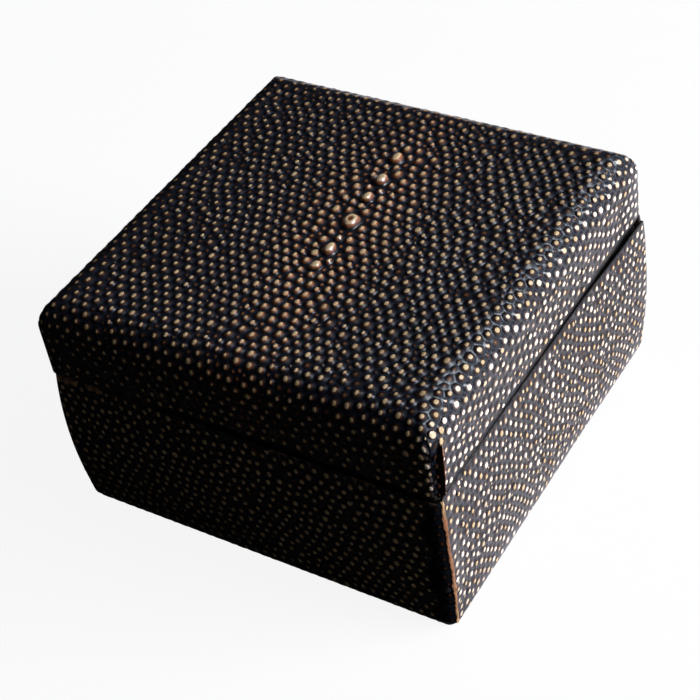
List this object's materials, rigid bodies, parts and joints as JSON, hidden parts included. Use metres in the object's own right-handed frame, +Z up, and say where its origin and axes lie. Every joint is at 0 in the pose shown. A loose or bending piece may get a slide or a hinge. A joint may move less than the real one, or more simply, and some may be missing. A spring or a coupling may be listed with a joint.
{
  "type": "writing box",
  "caption": "Small square ray-skin writing box with a lift-off lid and a fitted tray that holds an inkstone, water dropper, ink stick and brush.",
  "frame": {"origin": "centre of the underside of the base", "axes": "+X to the right across the box, +Y from front to back, +Z up"},
  "size_m": [0.102, 0.102, 0.0626],
  "materials": {
    "ray_skin": "ray skin filled with black lacquer and ground flat: pale polished pearls in a glossy black ground",
    "black_lacquer": "black lacquer on wood, glossy",
    "tray_lacquer": "deep red-brown translucent lacquer on wood, glossy",
    "slate": "honed slate",
    "bronze": "brown patinated bronze",
    "pine_soot_ink": "pressed soot and glue, burnished",
    "bamboo": "polished bamboo",
    "horn": "polished buffalo horn",
    "hair": "brushed animal hair"
  },
  "bodies": {
    "base": {"base_floor": "black_lacquer", "base_wall_front": "black_lacquer", "base_wall_right": "black_lacquer", "base_wall_back": "black_lacquer", "base_wall_left": "black_lacquer", "base_skin_front": "ray_skin", "base_skin_right": "ray_skin", "base_skin_back": "ray_skin", "base_skin_left": "ray_skin", "base_liner_front": "black_lacquer", "base_liner_right": "black_lacquer", "base_liner_back": "black_lacquer", "base_liner_left": "black_lacquer", "base_ledge_left": "black_lacquer", "base_ledge_right": "black_lacquer"},
    "tray": {"tray_floor": "tray_lacquer", "tray_wall_front": "tray_lacquer", "tray_wall_right": "tray_lacquer", "tray_wall_back": "tray_lacquer", "tray_wall_left": "tray_lacquer", "tray_divider": "tray_lacquer", "fitted_board": "tray_lacquer", "brush_rest_front": "tray_lacquer", "brush_rest_back": "tray_lacquer"},
    "lid": {"lid_top_board": "black_lacquer", "lid_wall_front": "black_lacquer", "lid_wall_right": "black_lacquer", "lid_wall_back": "black_lacquer", "lid_wall_left": "black_lacquer", "lid_skin": "ray_skin"},
    "inkstone": {"inkstone": "slate"},
    "water_dropper": {"dropper_bowl": "bronze", "dropper_cap": "bronze"},
    "ink_stick": {"ink_stick": "pine_soot_ink"},
    "brush": {"brush_handle": "bamboo", "brush_collar": "horn", "brush_tuft": "hair"}
  },
  "joints": [
    {"name": "tray_lift", "type": "slide", "parent": "base", "child": "tray", "axis": [0, 0, 1], "range_m": [0, 0.045]},
    {"name": "lid_lift", "type": "slide", "parent": "tray", "child": "lid", "axis": [0, 0, 1], "range_m": [0, 0.07]},
    {"name": "inkstone_lift", "type": "slide", "parent": "tray", "child": "inkstone", "axis": [0, 0, 1], "range_m": [0, 0.022]},
    {"name": "dropper_lift", "type": "slide", "parent": "tray", "child": "water_dropper", "axis": [0, 0, 1], "range_m": [0, 0.022]},
    {"name": "ink_stick_lift", "type": "slide", "parent": "tray", "child": "ink_stick", "axis": [0, 0, 1], "range_m": [0, 0.022]},
    {"name": "brush_lift", "type": "slide", "parent": "tray", "child": "brush", "axis": [0, 0, 1], "range_m": [0, 0.022]}
  ]
}
